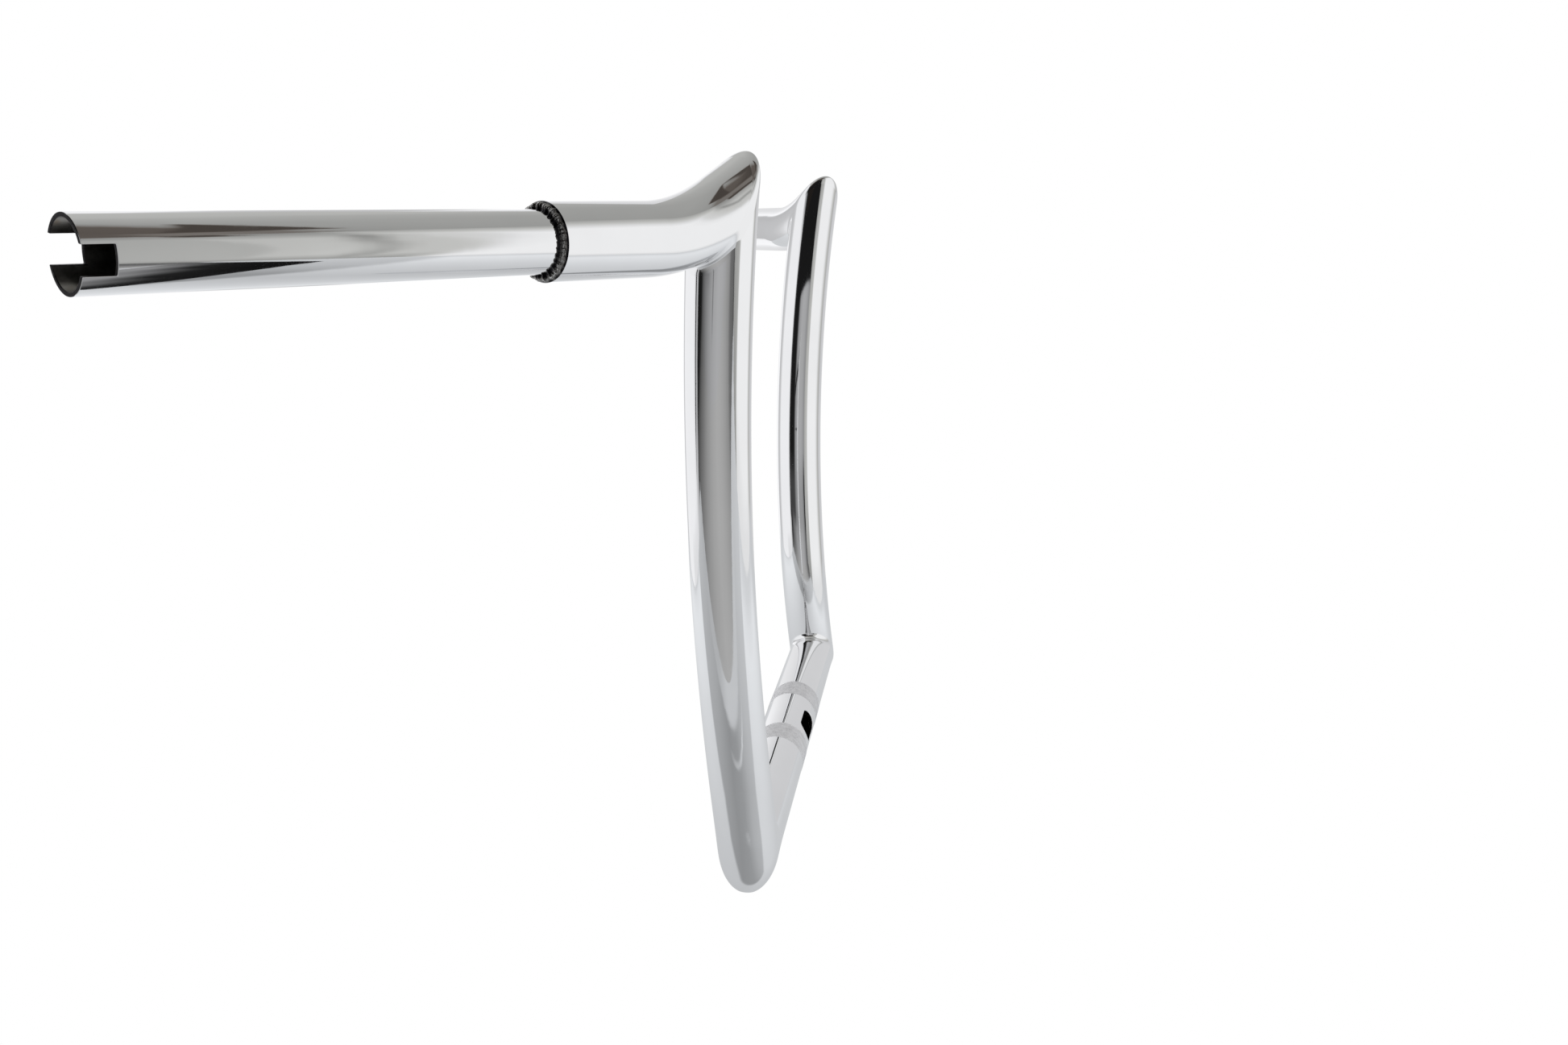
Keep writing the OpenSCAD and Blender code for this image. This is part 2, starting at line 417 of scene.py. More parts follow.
class Mitre:
    """A joint of two routes in one plane. The weld runs from the first route to the second.

    first_at and second_at are (distance near the joint, +1 where the tube leads away from it). first_turns is
    -1 where the first route's angles run the other way. plane is (point, normal). widths and crowns say how
    far the weld reaches along each tube and how high it stands, in the crotch and at the outer tip.
    """

    def __init__(self, first, first_at, first_turns, second, second_at, plane, outside, widths, crowns):
        self.first, self.first_at, self.first_turns = first, first_at, first_turns
        self.second, self.second_at = second, second_at
        self.point, self.normal = plane
        self.outside, self.widths, self.crowns = outside, widths, crowns

    def share(self, theta):
        """0 in the crotch of the joint, 1 at its outer tip."""
        _, normal = self.second.surface(np.full(theta.shape, self.second_at[0]), theta, BAR_R)
        lean = normal @ self.outside
        return (lean - lean.min()) / (lean.max() - lean.min())

    def ends(self, route, at, own, theta, radius):
        """Distances along a route, whose own angles are own, of the mitre plane and of the weld's edge."""
        cut = route.cut(own, radius, self.point, self.normal, at[0])
        width = self.widths[0] + (self.widths[1] - self.widths[0]) * self.share(theta)
        return cut, cut + at[1] * width

    def first_ends(self, theta, radius):
        return self.ends(self.first, self.first_at, theta * self.first_turns, theta, radius)

    def second_ends(self, theta, radius):
        return self.ends(self.second, self.second_at, theta, theta, radius)

    def first_edge(self, own, radius):
        """Where the first route's tube ends, for its own angles."""
        return self.first_ends(own * self.first_turns, radius)[1]

    def second_edge(self, theta, radius):
        """Where the second route's tube ends."""
        return self.second_ends(theta, radius)[1]

    def weld(self, name, mirror=False):
        """The weld's two skins, drawn as curves that leave each tube along its surface, and its rims."""
        build = Builder()
        share = self.share(THETA)[:, None]
        fullness = WELD_FULLNESS + WELD_FILLING * share
        crown = (self.crowns[0] + (self.crowns[1] - self.crowns[0]) * share**3) * self.outside
        own = THETA * self.first_turns
        skins = []
        for radius, inside in ((BAR_R, False), (BORE_R, True)):
            cut0, edge0 = self.first_ends(THETA, radius)
            cut1, edge1 = self.second_ends(THETA, radius)
            p0, n0 = self.first.surface(edge0, own, radius)
            q0, _ = self.first.surface(cut0, own, radius)
            p1, n1 = self.second.surface(edge1, THETA, radius)
            q1, _ = self.second.surface(cut1, THETA, radius)
            lift = 0 if inside else crown
            c1, c2 = p0 + (q0 - p0) * fullness + lift, p1 + (q1 - p1) * fullness + lift
            t = np.linspace(0, 1, WELD_ROWS)[:, None, None]
            points = p0 * (1 - t) ** 3 + 3 * c1 * t * (1 - t) ** 2 + 3 * c2 * t**2 * (1 - t) + p1 * t**3
            along = 3 * ((c1 - p0) * (1 - t) ** 2 + 2 * (c2 - c1) * t * (1 - t) + (p1 - c2) * t**2)
            around = np.roll(points, -1, axis=1) - np.roll(points, 1, axis=1)
            normals = np.cross(around, along)
            normals /= np.linalg.norm(normals, axis=2, keepdims=True)
            if not inside:
                normals[0], normals[-1] = n0, n1
            skins.append((build.surface(points, normals, flip=inside), points))
        build.rims(*skins)
        return build.mesh(name, mirror)


near, far = (0.0, 1), (riser_length, -1)
corner_plane, peak_plane = (CORNER, corner_cut), (PEAK, peak_cut)
corner_mitre = Mitre(
    base_route, near, -1, riser_route, near, corner_plane, corner_outside, CORNER_WELD, CORNER_CROWN
)
peak_mitre = Mitre(
    riser_route, far, 1, shoulder_route, near, peak_plane, peak_outside, PEAK_WELD, PEAK_CROWN
)


# -------- base tube

PATCH_COLUMNS = 18  # half width, in columns, of the patch that holds the slot
PATCH_ROWS = 80
PATCH_RINGS = 14
PATCH_MARGIN = 3.0
EDGE_RINGS = 5  # rings round the slot's rounded edge
# Rows of the base tube's zones: end, knurl, plain, patch, plain, knurl, end
ZONE_ROWS = (70, 12, 8, PATCH_ROWS + 1, 8, 12, 70)
PATCH_ZONE = 3


def base_tube():
    """The base tube in zones along its length: plain, sunk under the knurls, and open round the slot."""
    build = Builder()
    steps = [
        (KNURL_OFFSET, KNURL_LENGTH / 2),
        (SLOT_OFFSET, SLOT_LENGTH / 2 + PATCH_MARGIN),
        (-KNURL_OFFSET, KNURL_LENGTH / 2),
    ]
    planes = [CORNER[0] - (centre + half * sign) for centre, half in steps for sign in (1, -1)]
    keep = np.ones((PATCH_ROWS, COLUMNS), bool)
    keep[:, :PATCH_COLUMNS] = False
    keep[:, COLUMNS - PATCH_COLUMNS :] = False
    borders, first_row, last_row = {}, {}, {}
    for inside in (False, True):
        radius = BORE_R if inside else BAR_R
        seat = radius if inside else radius - KNURL_SEAT
        radii = (radius, seat, radius, radius, radius, seat, radius)
        near_edge = corner_mitre.first_edge(THETA, radius)
        edges = [near_edge, *planes, 2 * CORNER[0] - near_edge]
        before = None
        for zone, (start, end, zone_r, rows) in enumerate(zip(edges, edges[1:], radii, ZONE_ROWS)):
            held = keep if zone == PATCH_ZONE else None
            s = spread(start, end, rows)
            points, normals = base_route.surface(s, THETA, zone_r)
            if before is not None and before[2] == zone_r:
                index = np.vstack([before[0][None], build.grid(points[1:])])
                build.quads(index, normals * (-1 if inside else 1), inside, held, lining=inside)
            else:
                index = build.surface(points, normals, inside, held)
                if before is not None:
                    build.join(before[0], index[0], (before[1], points[0]), flip=inside)
                else:
                    first_row[inside] = (index[0], points[0])
            if held is not None:
                borders[inside] = (index, s)
            before = (index[-1], points[-1], zone_r)
        last_row[inside] = before[:2]
    for row, flip in ((first_row, True), (last_row, False)):
        build.join(row[False][0], row[True][0], (row[False][1], row[True][1]), flip=flip)
    slot_patch(build, borders)
    return build.mesh("base_bar", both_ends=True)


def slot_outline(border):
    """The nearest point on the slot's middle line, and the direction from there, for each point round it.

    Points are in millimetres along and across the slot.
    """
    half = (SLOT_LENGTH - SLOT_WIDTH) / 2
    middle = np.stack([np.clip(border[:, 0], -half, half), np.zeros(len(border))], axis=1)
    way = border - middle
    return middle, way / np.linalg.norm(way, axis=1, keepdims=True)


def slot_patch(build, borders):
    """The tube's skin round the slot, outside and inside, and the slot's wall between them."""
    slot_at = CORNER[0] - SLOT_OFFSET
    lows, highs = -PATCH_COLUMNS, PATCH_COLUMNS
    loop = [(0, k) for k in range(lows, highs)]
    loop += [(i, highs) for i in range(PATCH_ROWS)]
    loop += [(PATCH_ROWS, k) for k in range(highs, lows, -1)]
    loop += [(i, lows) for i in range(PATCH_ROWS, 0, -1)]
    rings = {}
    for inside in (False, True):
        radius = BORE_R if inside else BAR_R
        index, s = borders[inside]
        numbers = np.array([index[i, k % COLUMNS] for i, k in loop])
        along = np.array([s[i, 0] for i, _ in loop]) - slot_at
        across = radius * np.sin(np.array([k for _, k in loop]) * 2 * math.pi / COLUMNS)
        border = np.stack([along, across], axis=1)
        middle, way = slot_outline(border)
        edge = middle + way * (SLOT_WIDTH / 2 + (0 if inside else SLOT_EDGE))
        share = np.linspace(0, 1, PATCH_RINGS)[:, None, None]
        flat = border * (1 - share) + edge * share
        theta = np.arcsin(flat[:, :, 1] / radius)
        points, normals = base_route.surface(flat[:, :, 0] + slot_at, theta, radius)
        ring_index = np.vstack([numbers[None], build.grid(points[1:])])
        build.quads(ring_index, normals * (-1 if inside else 1), flip=inside, lining=inside)
        rings[inside] = (ring_index[-1], normals[-1], middle, way)
    number, normal, middle, way = rings[False]
    _, tangent, side, up = base_route.place(np.array(0.0))
    into = -(way[:, :1] * tangent + way[:, 1:] * up)
    rows, row_normals = [], [normal]
    for angle in np.linspace(0, math.pi / 2, EDGE_RINGS)[1:]:
        flat = middle + way * (SLOT_WIDTH / 2 + SLOT_EDGE * (1 - math.sin(angle)))
        ring, _ = base_route.surface(flat[:, 0] + slot_at, np.arcsin(flat[:, 1] / BAR_R), BAR_R)
        rows.append(ring - side * SLOT_EDGE * (1 - math.cos(angle)))
        row_normals.append(normal * math.cos(angle) + into * math.sin(angle))
    index = build.grid(np.stack(rows))
    build.quads(np.vstack([number[None], index]), np.stack(row_normals))
    build.quads(np.stack([index[-1], rings[True][0]]), np.stack([into, into]))


def triangle(turns):
    """A wave with straight flanks, 1 at whole turns and 0 halfway between them."""
    return np.abs((turns % 1.0) - 0.5) * 2


def knurled_sleeve(name, centre):
    """A rolled diamond knurl: two crossed families of grooves round a shallow band."""
    around, along = KNURL_GRID
    theta = np.arange(around) * 2 * math.pi / around
    x = np.linspace(-KNURL_LENGTH / 2, KNURL_LENGTH / 2, along)
    turn = theta[None] * KNURL_TEETH / (2 * math.pi)
    step = x[:, None] / KNURL_LEAD
    ridge = np.minimum(triangle(turn + step), triangle(turn - step))
    height = KNURL_LOW + KNURL_TOOTH * np.clip(ridge * TOOTH_SLOPE, 0, TOOTH_FLAT) / TOOTH_FLAT
    fade = smooth(0, KNURL_FADE, KNURL_LENGTH / 2 - np.abs(x))[:, None]
    radius = BAR_R + height * fade + SLEEVE_PROUD
    s = CORNER[0] - (centre + x)[::-1]
    points, _ = base_route.surface(s[:, None], theta, radius)
    build = Builder()
    outer = build.surface(points, grid_normals(points))
    inner_points, inner_normals = base_route.surface(spread(s[0], s[-1], 2), theta, BAR_R - KNURL_SEAT)
    inner = build.surface(inner_points, inner_normals, flip=True)
    build.rims((outer, points), (inner, inner_points))
    return build.mesh(name)


# -------- control end

NOTCH_COLUMNS = 12  # columns from the middle of a notch to its edge
FINE_LENGTH = 30.0  # length at the tip that has closer rows
GRIP_ROWS = (120, 40, 13)  # rows of the plain part, of the part with closer rows, and of the notches
SHARP = math.radians(50)  # edges that turn further than this are rounded
ON_SKIN = 2e-3  # how near to a skin's radius a point counts as on it
SQUARE = 0.9999  # cosine above which a face counts as square to a direction


def notch_columns(radius):
    """Column angles of the control end, with columns exactly on both edges of each notch."""
    edge = math.asin(NOTCH_WIDTH / 2 / radius)
    in_notch = np.linspace(0, edge, NOTCH_COLUMNS + 1)
    beside = np.linspace(edge, math.pi / 2, COLUMNS // 4 - NOTCH_COLUMNS + 1)[1:]
    quadrant = np.concatenate([in_notch, beside])
    half_turn = np.concatenate([quadrant, (math.pi - quadrant[::-1])[1:]])
    return np.concatenate([half_turn, (half_turn + math.pi)[1:]])[:-1]


def grip_shape():
    """Sharp-edged control end: points, in millimetres, and quads."""
    bottom, fine = grip_full - NOTCH_DEPTH, grip_full - FINE_LENGTH
    plain_rows, fine_rows, tip_rows = GRIP_ROWS
    s_rows = np.concatenate(
        [
            np.linspace(0, fine, plain_rows),
            np.linspace(fine, bottom, fine_rows)[1:],
            np.linspace(bottom, grip_full, tip_rows)[1:],
        ]
    )
    bottom_row = plain_rows + fine_rows - 2
    rows = len(s_rows)
    skins = []
    for radius in (GRIP_R, GRIP_BORE_R):
        points, _ = grip_route.surface(s_rows[:, None], notch_columns(radius), radius)
        skins.append(points.reshape(-1, 3))
    outer = np.arange(rows * COLUMNS).reshape(rows, COLUMNS)
    inner = outer + outer.size
    # Whether the quad that starts at a column lies in a notch
    in_notch = ((np.arange(COLUMNS) + NOTCH_COLUMNS) % (COLUMNS // 2)) < 2 * NOTCH_COLUMNS
    faces = []

    def quad(a, b, c, d, flip=False):
        faces.append([a, b, c, d][:: -1 if flip else 1])

    for i in range(rows - 1):
        for k in range(COLUMNS):
            if i >= bottom_row and in_notch[k]:
                continue
            j = (k + 1) % COLUMNS
            quad(outer[i, k], outer[i, j], outer[i + 1, j], outer[i + 1, k])
            quad(inner[i, k], inner[i, j], inner[i + 1, j], inner[i + 1, k], True)
    for k in range(COLUMNS):
        j = (k + 1) % COLUMNS
        quad(outer[0, k], outer[0, j], inner[0, j], inner[0, k], True)
        row = bottom_row if in_notch[k] else rows - 1
        quad(outer[row, k], outer[row, j], inner[row, j], inner[row, k])
    for k in range(COLUMNS):
        if in_notch[k] == in_notch[k - 1]:
            continue
        for i in range(bottom_row, rows - 1):
            quad(outer[i, k], outer[i + 1, k], inner[i + 1, k], inner[i, k], in_notch[k])
    return np.vstack(skins), faces


def grip_normals(face):
    """A normal for each corner of a face of the control end. Corners on a skin have the skin's own."""
    flat = np.array(face.normal)
    offsets = [np.array(v.co) - grip_end for v in face.verts]
    radial = [o - (o @ grip_dir) * grip_dir for o in offsets]
    reach = [np.linalg.norm(r) for r in radial]
    # 1 on the outer skin, -1 on the inner one, 0 on an edge between them
    sides = [(abs(r - GRIP_R) < ON_SKIN) * 1 - (abs(r - GRIP_BORE_R) < ON_SKIN) * 1 for r in reach]
    square = max(abs(flat @ grip_dir), abs(flat @ grip_across)) > SQUARE
    if abs(sum(sides)) < len(sides) and (len(sides) == 3 or square):
        return np.array([flat] * len(sides))
    rows = zip(face.verts, sides, radial, reach)
    return np.array([side * q / r if side else np.array(vert.normal) for vert, side, q, r in rows])


def grip_material(face):
    """Number of the material of a face of the control end, by how far its middle is from the axis."""
    reach = np.linalg.norm(np.cross(np.array(face.calc_center_median()) - grip_end, grip_dir))
    return LINING if reach < GRIP_BORE_R else CUT_EDGE if reach < GRIP_R - EDGE_ROUND / 2 else SKIN


def grip_tube(name, mirror=False):
    """The control end, with small rounded edges at its tip and notches."""
    points, faces = grip_shape()
    bm = bmesh.new()
    verts = [bm.verts.new(p) for p in points.tolist()]
    for face in faces:
        bm.faces.new([verts[int(v)] for v in face])
    bmesh.ops.delete(bm, geom=[v for v in bm.verts if not v.link_faces], context="VERTS")
    bm.normal_update()
    sharp = [e for e in bm.edges if e.is_manifold and e.calc_face_angle(0) > SHARP]
    sharp = [e for e in sharp if (np.array(e.verts[0].co) - grip_start) @ grip_dir > 1]
    shape = {"offset": EDGE_ROUND, "offset_type": "OFFSET", "segments": 3, "profile": 0.5}
    bmesh.ops.bevel(bm, geom=sharp, affect="EDGES", clamp_overlap=True, **shape)
    bm.normal_update()
    bm.verts.index_update()
    points = np.array([v.co for v in bm.verts])
    faces = [[v.index for v in f.verts] for f in bm.faces]
    normals = [grip_normals(f) for f in bm.faces]
    numbers = [grip_material(f) for f in bm.faces]
    bm.free()
    if mirror:
        points = points * MIRROR
        faces = [f[::-1] for f in faces]
        normals = [n[::-1] * MIRROR for n in normals]
    return make_mesh(name, points, faces, np.vstack(normals), numbers)


def step_bead(name, mirror=False):
    """The raw fillet weld at the step: overlapping ripples with uneven edges and small craters."""
    around, across = BEAD_GRID
    rng = np.random.default_rng(7)
    theta = np.arange(around) * 2 * math.pi / around
    profile = np.linspace(0, 1, across)
    waves = zip(rng.uniform(0.02, 0.07, 14), rng.integers(3, 40, 14), rng.uniform(0, 6.3, 14))
    size = STEP_BEAD * (1 + 0.5 * sum(a * np.sin(theta * f + p) for a, f, p in waves))
    angle = profile * math.pi / 2
    rise = np.cos(angle)[:, None] ** 0.8
    run = np.sin(angle)[:, None] ** 0.9
    phase = (theta * BEAD_RIPPLES / (2 * math.pi))[None] + 0.55 * (1 - 2 * profile[:, None]) ** 2
    ripple = np.abs(np.sin(phase * math.pi)) ** 0.6 - 0.6
    grit = rng.normal(0, 1, (across, around))
    grit = (grit + np.roll(grit, 1, 1) + np.roll(grit, 1, 0) + np.roll(grit, -1, 1)) / 4
    bulge = np.sin(profile * math.pi)[:, None]
    lift = bulge * (0.17 * ripple + 0.05 * grit) + 0.25 * bulge
    radius = GRIP_R + rise * size[None] + lift * np.cos(angle)[:, None]
    s = GRIP_INSERT + run * size[None] * 0.9 + lift * np.sin(angle)[:, None]
    radius[-1] = GRIP_R - BEAD_ROOT
    radius = np.maximum(radius, GRIP_R - BEAD_ROOT)
    points, _ = grip_route.surface(s, theta, radius)
    build = Builder()
    outer = build.surface(points, grid_normals(points))
    back = np.stack([np.full(around, GRIP_INSERT), s[-1]])
    inner_points, inner_normals = grip_route.surface(back, theta, GRIP_R - BEAD_ROOT)
    inner = np.vstack([build.grid(inner_points[:1]), outer[-1][None]])
    build.quads(inner, -inner_normals, flip=True)
    build.join(outer[0], inner[0], (points[0], inner_points[0]), flip=True)
    streaks = rng.normal(0, 1, (across, around))
    for _ in range(10):
        streaks = (streaks + np.roll(streaks, 1, 1) + np.roll(streaks, -1, 1)) / 3
    # Painted light: shade at the bead's feet and in its ripple troughs, a sheen along its crown, and random
    # streaks
    painted_light_and_streaks = 0.46 * bulge**1.3 + 0.32 * streaks * bulge + 0.10 * ripple * bulge
    return build.mesh(name, mirror, painted_light_and_streaks.ravel())


# -------- materials


def new_material(name):
    material = bpy.data.materials.new(name)
    material.use_nodes = True
    nodes, links = material.node_tree.nodes, material.node_tree.links
    nodes.clear()
    output = nodes.new("ShaderNodeOutputMaterial")
    return material, nodes, links, output


class Metal:
    """A metal, with a short call for each node that its look is made of."""

    def __init__(self, name, metallic=1.0):
        self.material, self.nodes, self.links, output = new_material(name)
        self.shader = self.nodes.new("ShaderNodeBsdfPrincipled")
        self.shader.inputs["Metallic"].default_value = metallic
        self.links.new(self.shader.outputs["BSDF"], output.inputs["Surface"])

    def finish(self, colour, roughness, normal):
        """Links the look to the shader and gives the material."""
        for socket, value in (("Base Color", colour), ("Roughness", roughness), ("Normal", normal)):
            self.links.new(value, self.shader.inputs[socket])
        return self.material

    def noise(self, scale, detail, stretch=(1, 1, 1), turn=(0, 0, 0), offset=0.0):
        """A noise texture in object space, in cycles to the metre, stretched and turned."""
        place = self.nodes.new("ShaderNodeTexCoord")
        mapping = self.nodes.new("ShaderNodeMapping")
        mapping.inputs["Scale"].default_value = stretch
        mapping.inputs["Rotation"].default_value = turn
        mapping.inputs["Location"].default_value = (offset, offset, offset)
        texture = self.nodes.new("ShaderNodeTexNoise")
        texture.inputs["Scale"].default_value = scale
        texture.inputs["Detail"].default_value = detail
        texture.inputs["Roughness"].default_value = 0.6
        self.links.new(place.outputs["Object"], mapping.inputs["Vector"])
        self.links.new(mapping.outputs["Vector"], texture.inputs["Vector"])
        return texture.outputs["Fac"]

    def attribute(self, name):
        node = self.nodes.new("ShaderNodeAttribute")
        node.attribute_name = name
        return node.outputs["Fac"]

    def ramp(self, value, *stops):
        """A colour ramp with (position, colour) stops. A colour is one grey level or three channels."""
        node = self.nodes.new("ShaderNodeValToRGB")
        elements = node.color_ramp.elements
        while len(elements) < len(stops):
            elements.new(0.5)
        for element, (position, colour) in zip(elements, stops):
            element.position = position
            channels = (colour,) * 3 if isinstance(colour, (int, float)) else colour
            element.color = (*channels, 1)
        self.links.new(value, node.inputs["Fac"])
        return node.outputs["Color"]

    def maths(self, operation, first, second):
        node = self.nodes.new("ShaderNodeMath")
        node.operation = operation
        for socket, value in zip(node.inputs, (first, second)):
            if isinstance(value, (int, float)):
                socket.default_value = value
            else:
                self.links.new(value, socket)
        return node.outputs["Value"]

    def bump(self, height, strength, distance, normal=None):
        node = self.nodes.new("ShaderNodeBump")
        node.inputs["Strength"].default_value = strength
        node.inputs["Distance"].default_value = distance
        self.links.new(height, node.inputs["Height"])
        if normal is not None:
            self.links.new(normal, node.inputs["Normal"])
        return node.outputs["Normal"]


def chrome(name, seed, low=0.018, high=0.075, marks=1.0):
    """Bright plating: a faint waviness, fine polishing scratches, a little haze and a few dull specks."""
    metal = Metal(name)
    dull_plating = tuple(c * 0.965 for c in PLATING)
    colour = metal.ramp(metal.noise(26, 4, offset=seed), (0.3, dull_plating), (0.7, PLATING))
    scratch = metal.noise(900, 3, stretch=(1, 1, 0.03), turn=(0.4, 0.9, 0.2), offset=seed)
    fine = metal.noise(1500, 2, stretch=(0.03, 1, 1), turn=(0.1, 0.3, 0.7), offset=seed + 1.7)
    lines = metal.ramp(metal.maths("MAXIMUM", scratch, fine), (0.66, 0.0), (0.74, 1.0))
    specks = metal.ramp(metal.noise(1100, 1, offset=seed + 5), (0.80, 0.0), (0.86, 1.0))
    rough = metal.ramp(metal.noise(60, 6, offset=seed + 3.1), (0.35, low), (0.75, high))
    rough = metal.maths("ADD", rough, metal.maths("MULTIPLY", lines, 0.05 * marks))
    rough = metal.maths("ADD", rough, metal.maths("MULTIPLY", specks, 0.25 * marks))
    wave = metal.bump(metal.noise(95, 1, offset=seed), 0.035 * marks, 0.0006)
    return metal.finish(colour, rough, metal.bump(lines, 0.02 * marks, 0.00002, wave))


def knurl_metal(name):
    """Plated knurl with a satin finish, greyer where grime stays."""
    metal = Metal(name)
    grime = metal.noise(300, 5)
    colour = metal.ramp(grime, (0.3, (0.70, 0.70, 0.715)), (0.62, (0.84, 0.84, 0.855)))
    rough = metal.ramp(grime, (0.3, 0.42), (0.7, 0.32))
    return metal.finish(colour, rough, metal.bump(metal.noise(1600, 2), 0.08, 0.00005))


def raw_weld(name):
    """Thin plating over a rough bead: black at its feet and in the craters, which is painted shade, and a
    painted sheen with grey streaks along its crown.
    """
    metal = Metal(name)
    both = metal.maths("ADD", metal.maths("MULTIPLY", metal.noise(420, 4), 0.45), metal.attribute("painted_light_and_streaks"))
    # From black in the painted shade at the feet to a near-white painted sheen on the crown
    colour = metal.ramp(
        both,
        (0.36, (0.014, 0.013, 0.015)),
        (0.55, (0.13, 0.125, 0.12)),
        (0.78, (0.36, 0.36, 0.35)),
        (0.92, (0.85, 0.85, 0.87)),
    )
    rough = metal.ramp(both, (0.3, 0.3), (0.8, 0.16))
    return metal.finish(colour, rough, metal.bump(metal.noise(1100, 4), 0.3, 0.0002))


def tube_lining(name):
    """The bare inside of a tube: mottled grey steel with a dusting of rust."""
    metal = Metal(name, metallic=0.95)
    stain = metal.noise(140, 6)
    grey, rust = (0.32, 0.31, 0.29), (0.30, 0.23, 0.17)
    colour = metal.ramp(stain, (0.35, (0.20, 0.19, 0.175)), (0.6, grey), (0.8, rust))
    rough = metal.ramp(stain, (0.3, 0.26), (0.7, 0.42))
    return metal.finish(colour, rough, metal.bump(metal.noise(900, 4), 0.12, 0.00006))


def burnt_edge(name):
    """Sawn and deburred edges, where the plating is thin and burnt dark."""
    metal = Metal(name, metallic=0.9)
    grain = metal.noise(700, 5)
    colour = metal.ramp(grain, (0.35, (0.035, 0.033, 0.036)), (0.65, (0.10, 0.095, 0.10)))
    rough = metal.ramp(grain, (0.3, 0.3), (0.7, 0.5))
    return metal.finish(colour, rough, metal.bump(grain, 0.3, 0.0001))


# -------- the pieces

lining = tube_lining("bore_steel")
cut_edge = burnt_edge("cut_edge_steel")
metals = {
    "chrome_base": chrome("bar_chrome", 1.0),
    "chrome_riser": chrome("riser_chrome", 2.0),
    "chrome_shoulder": chrome("shoulder_chrome", 3.0),
    "chrome_grip": chrome("control_end_chrome", 4.0, low=0.03, high=0.10),
    "chrome_weld": chrome("ground_weld_chrome", 5.0, low=0.03, high=0.12, marks=1.6),
    "raw_weld": raw_weld("raw_weld_metal"),
    "knurl": knurl_metal("knurl_metal"),
}


def dress(piece, slot, node=None, metal=None):
    """Gives a piece its materials, picked by its slot unless a metal is named, and its body, and hides the CAD
    node that it stands for.
    """
    for material in (metals[metal or slot], lining, cut_edge):
        piece.data.materials.append(material)
    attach(piece, "root")
    if node:
        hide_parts(node)


def shoulder_end(theta, radius):
    """The shoulder's square-cut end, for tube()."""
    return shoulder_route.length


dress(base_tube(), "chrome_base", "base_tube")
for side, mirror in (("right", False), ("left", True)):
    centre = -KNURL_OFFSET if mirror else KNURL_OFFSET
    dress(knurled_sleeve(f"knurl_{side}", centre), "chrome_base", metal="knurl")
    riser = tube(
        f"riser_tube_{side}", riser_route, corner_mitre.second_edge, peak_mitre.first_edge, RISER_ROWS, mirror
    )
    dress(riser, "chrome_riser", f"riser_{side}")
    shoulder = tube(
        f"shoulder_tube_{side}", shoulder_route, peak_mitre.second_edge, shoulder_end, SHOULDER_ROWS, mirror
    )
    dress(shoulder, "chrome_shoulder", f"shoulder_{side}")
    dress(corner_mitre.weld(f"corner_blend_{side}", mirror), "chrome_weld", f"weld_corner_{side}")
    dress(peak_mitre.weld(f"peak_blend_{side}", mirror), "chrome_weld", f"weld_peak_{side}")
    dress(grip_tube(f"control_end_{side}", mirror), "chrome_grip", f"grip_{side}")
    dress(step_bead(f"step_bead_{side}", mirror), "raw_weld", f"weld_step_{side}")


# -------- surroundings

TENT_X = (-600.0, 430.0)
TENT_Y = (-520.0, 560.0)
TENT_Z = (-45.0, 900.0)
FLOOR_EDGE = 474.0
ROOM_X = 700.0  # how far out the room beyond the tent's open front is drawn
ROOM_Y = -1200.0  # how far it is drawn on the -Y side
SHADE_CARD = (300.0, -411.0, 40.0)  # a lower corner of the dark card that paints shade outside the tent
SHADE_CARD_SPAN = (400.0, -640.0, 0.0)
GAP = (372.0, 6.0, 230.0)  # a corner of the dark gap
GAP_WIDTH = 56.0
GAP_LENGTH = 166.0
GAP_LEAN = 0.157  # how far the gap leans outwards for each millimetre of its length
REFLECTIVITY = 0.87
# Tints of the panels' light: red, green and blue
PLAIN = (1.0, 1.0, 1.012)
COOL = (0.982, 1.0, 1.02)
WARM = (1.005, 1.0, 0.99)
WHITE = (1.0, 1.0, 1.0)


def linear(value):
    """Display levels 0 to 255 as linear light."""
    v = np.clip(np.asarray(value, float), 0, 255) / 255
    return np.where(v <= 0.04045, v / 12.92, ((v + 0.055) / 1.055) ** 2.4)


def mix(first, second, share):
    return first * (1 - share) + second * share


def capped(level, cap, share):
    """level held below cap where share is 1."""
    return mix(level, np.minimum(level, cap), share)


def browned(shade):
    """A tint that is warmer where the display level is lower."""
    dim, dark = 1 - smooth(185, 225, shade), 1 - smooth(70, 150, shade)
    return np.array(WHITE) + dim * np.array([0.0, 0.0, -0.035]) + dark * np.array([0.18, 0.0, -0.09])


def sheet_of_light(name, points, faces, light, hidden_from):
    """A stage piece, not part of the object, that glows in the light given for each of its points."""
    data = bpy.data.meshes.new(name)
    data.from_pydata((points * MM).tolist(), [], faces)
    rows = np.hstack([np.broadcast_to(light, points.shape), np.ones((len(points), 1))])
    colour = data.attributes.new("glow", "FLOAT_COLOR", "POINT")
    colour.data.foreach_set("color", rows.astype(np.float32).ravel())
    material, nodes, links, output = new_material(name + "_glow")
    material.cycles.emission_sampling = "NONE"
    attribute = nodes.new("ShaderNodeAttribute")
    attribute.attribute_name = "glow"
    emission = nodes.new("ShaderNodeEmission")
    links.new(attribute.outputs["Color"], emission.inputs["Color"])
    links.new(emission.outputs["Emission"], output.inputs["Surface"])
    data.materials.append(material)
    obj = bpy.data.objects.new(name, data)
    bpy.context.scene.collection.objects.link(obj)
    for ray in hidden_from:
        setattr(obj, "visible_" + ray, False)


